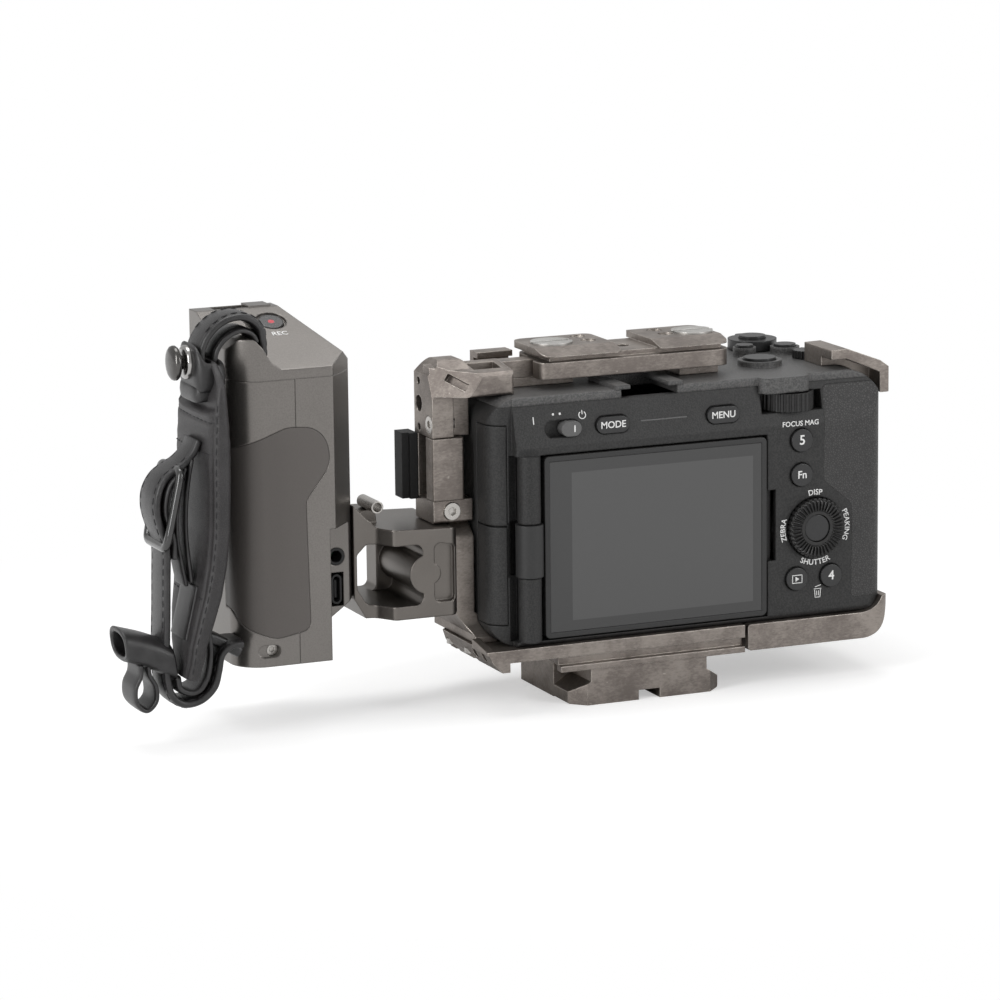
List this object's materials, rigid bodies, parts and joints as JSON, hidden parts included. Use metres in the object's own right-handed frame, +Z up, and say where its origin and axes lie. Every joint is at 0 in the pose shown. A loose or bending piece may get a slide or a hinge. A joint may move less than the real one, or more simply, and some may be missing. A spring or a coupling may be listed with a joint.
{
  "type": "camera cage",
  "caption": "Camera cage closed round a compact cinema camera, with a dovetail foot, a top rail, a powered side handle on an arm and a leather hand strap.",
  "frame": {"origin": "middle of the dovetail foot's underside", "axes": "+X towards the camera's grip side, +Y the way the lens looks, +Z up"},
  "size_m": [0.2509, 0.0796, 0.1235],
  "materials": {
    "cage_metal": "brushed, anodised warm grey",
    "handle_metal": "satin grey",
    "palm_panel": "satin soft-touch",
    "camera_shell": "fine crackle black",
    "camera_lid": "matte black",
    "grip_skin": "grained",
    "screen_frame": "matte",
    "screen_glass": "gloss, unlit",
    "key_black": "semi-gloss",
    "dial_black": "knurled, black anodised",
    "steel": "turned",
    "chrome": "polished",
    "black_rubber": "matte",
    "leather": "grained, stitched",
    "buckle": "gloss",
    "red_key": "satin with a red mark",
    "cell": "wrapped cell",
    "board": "solder mask"
  },
  "bodies": {
    "cage": {"camera_body": "camera_shell", "camera_top_plate": "camera_lid", "camera_grip_cover": "grip_skin", "camera_mount_ring": "steel", "dovetail_foot": "cage_metal", "tripod_screw": "steel", "cage_base_plate": "cage_metal", "cage_right_bracket": "cage_metal", "base_screws": "steel", "cage_side_frame": "cage_metal", "cage_rubber_pad": "black_rubber", "cage_cold_shoe": "cage_metal", "side_screws": "steel", "cage_top_rail": "cage_metal", "slotted_screws": "steel", "cage_shoulder_hook": "cage_metal", "arm_bracket": "handle_metal", "arm_bolts": "steel", "arm_pin": "steel", "handle_palm_panel": "palm_panel", "handle_jack_socket": "key_black", "handle_usb_socket": "steel", "handle_outer_shell": "handle_metal", "handle_inner_shell": "handle_metal", "handle_battery": "cell", "handle_circuit_board": "board", "handle_shell_screws": "steel", "handle_top_cap": "handle_metal", "strap_hand_pad": "leather", "strap_top_band": "leather", "strap_top_keeper": "leather", "strap_stud": "chrome", "strap_tension_band": "leather", "strap_buckle": "buckle", "strap_bottom_keeper": "leather"},
    "screen": {"camera_lcd_housing": "screen_frame", "camera_lcd_glass": "screen_glass", "camera_lcd_hinge": "screen_frame"},
    "port_door_upper": {"camera_port_door_upper": "screen_frame"},
    "port_door_lower": {"camera_port_door_lower": "screen_frame"},
    "button_five": {"camera_button_five": "key_black"},
    "button_fn": {"camera_button_fn": "key_black"},
    "button_play": {"camera_button_play": "key_black"},
    "button_four": {"camera_button_four": "key_black"},
    "mode_button": {"camera_mode_button": "key_black"},
    "menu_button": {"camera_menu_button": "key_black"},
    "power_switch": {"camera_power_switch": "key_black"},
    "control_wheel": {"camera_control_wheel": "dial_black"},
    "wheel_button": {"camera_wheel_button": "key_black"},
    "rear_dial": {"camera_rear_dial": "dial_black"},
    "ring_button": {"camera_ring_button": "key_black"},
    "small_button": {"camera_small_button": "key_black"},
    "assign_button": {"camera_assign_button": "key_black"},
    "top_dial": {"camera_top_dial": "dial_black"},
    "zoom_lever": {"camera_zoom_lever": "dial_black"},
    "shutter_button": {"camera_shutter_button": "steel"},
    "body_cap": {"camera_body_cap": "black_rubber"},
    "clamp_jaw": {"cable_clamp_jaw": "cage_metal"},
    "rec_button": {"handle_rec_button": "red_key"},
    "battery_door": {"handle_battery_door": "black_rubber"}
  },
  "joints": [
    {"name": "screen_hinge", "type": "hinge", "parent": "cage", "child": "screen", "pos_m": [-0.0382, -0.0204, 0.0492], "axis": [0, 0, -1], "range_deg": [0, 175]},
    {"name": "upper_door_hinge", "type": "hinge", "parent": "cage", "child": "port_door_upper", "pos_m": [-0.0495, -0.0076, 0.0716], "axis": [0, 0, -1], "range_deg": [0, 90]},
    {"name": "lower_door_hinge", "type": "hinge", "parent": "cage", "child": "port_door_lower", "pos_m": [-0.0495, -0.0076, 0.0412], "axis": [0, 0, -1], "range_deg": [0, 60]},
    {"name": "button_five_press", "type": "slide", "parent": "cage", "child": "button_five", "axis": [0, 1, 0], "range_m": [0, 0.0007], "stiffness_N_per_m": 400, "springref_m": -0.0005},
    {"name": "button_fn_press", "type": "slide", "parent": "cage", "child": "button_fn", "axis": [0, 1, 0], "range_m": [0, 0.0007], "stiffness_N_per_m": 400, "springref_m": -0.0005},
    {"name": "button_play_press", "type": "slide", "parent": "cage", "child": "button_play", "axis": [0, 1, 0], "range_m": [0, 0.0007], "stiffness_N_per_m": 400, "springref_m": -0.0005},
    {"name": "button_four_press", "type": "slide", "parent": "cage", "child": "button_four", "axis": [0, 1, 0], "range_m": [0, 0.0007], "stiffness_N_per_m": 400, "springref_m": -0.0005},
    {"name": "mode_button_press", "type": "slide", "parent": "cage", "child": "mode_button", "axis": [0, 1, 0], "range_m": [0, 0.0007], "stiffness_N_per_m": 400, "springref_m": -0.0005},
    {"name": "menu_button_press", "type": "slide", "parent": "cage", "child": "menu_button", "axis": [0, 1, 0], "range_m": [0, 0.0007], "stiffness_N_per_m": 400, "springref_m": -0.0005},
    {"name": "power_slide", "type": "slide", "parent": "cage", "child": "power_switch", "axis": [-1, 0, 0], "range_m": [0, 0.0044]},
    {"name": "wheel_spin", "type": "hinge", "parent": "cage", "child": "control_wheel", "pos_m": [0.0562, -0.0217, 0.0476], "axis": [0, 1, 0], "continuous": true},
    {"name": "wheel_button_press", "type": "slide", "parent": "control_wheel", "child": "wheel_button", "axis": [0, 1, 0], "range_m": [0, 0.0005], "stiffness_N_per_m": 400, "springref_m": -0.0005},
    {"name": "rear_dial_spin", "type": "hinge", "parent": "cage", "child": "rear_dial", "pos_m": [0.0496, -0.0152, 0.0869], "axis": [0, 0, 1], "continuous": true},
    {"name": "ring_button_press", "type": "slide", "parent": "cage", "child": "ring_button", "axis": [0, 0, -1], "range_m": [0, 0.0006], "stiffness_N_per_m": 400, "springref_m": -0.0005},
    {"name": "small_button_press", "type": "slide", "parent": "cage", "child": "small_button", "axis": [0, 0, -1], "range_m": [0, 0.0006], "stiffness_N_per_m": 400, "springref_m": -0.0005},
    {"name": "assign_button_press", "type": "slide", "parent": "cage", "child": "assign_button", "axis": [0, 0, -1], "range_m": [0, 0.0006], "stiffness_N_per_m": 400, "springref_m": -0.0005},
    {"name": "top_dial_spin", "type": "hinge", "parent": "cage", "child": "top_dial", "pos_m": [0.0676, 0.0072, 0.0962], "axis": [0, 0, 1], "continuous": true},
    {"name": "zoom_turn", "type": "hinge", "parent": "cage", "child": "zoom_lever", "pos_m": [0.0604, 0.03, 0.0966], "axis": [0, 0, 1], "range_deg": [-20, 20], "stiffness_Nm_per_rad": 0.01},
    {"name": "shutter_press", "type": "slide", "parent": "zoom_lever", "child": "shutter_button", "axis": [0, 0, -1], "range_m": [0, 0.0008], "stiffness_N_per_m": 400, "springref_m": -0.0005},
    {"name": "cap_twist", "type": "hinge", "parent": "cage", "child": "body_cap", "pos_m": [0.0022, 0.033, 0.057], "axis": [0, 1, 0], "range_deg": [0, 45]},
    {"name": "jaw_slide", "type": "slide", "parent": "cage", "child": "clamp_jaw", "axis": [-1, 0, 0], "range_m": [0, 0.003]},
    {"name": "rec_press", "type": "slide", "parent": "cage", "child": "rec_button", "axis": [0, 0.3915, -0.9202], "range_m": [0, 0.0006], "stiffness_N_per_m": 400, "springref_m": -0.0005},
    {"name": "battery_door_hinge", "type": "hinge", "parent": "cage", "child": "battery_door", "pos_m": [-0.112, 0.0228, 0.0194], "axis": [1, 0, 0], "range_deg": [0, 80]}
  ]
}
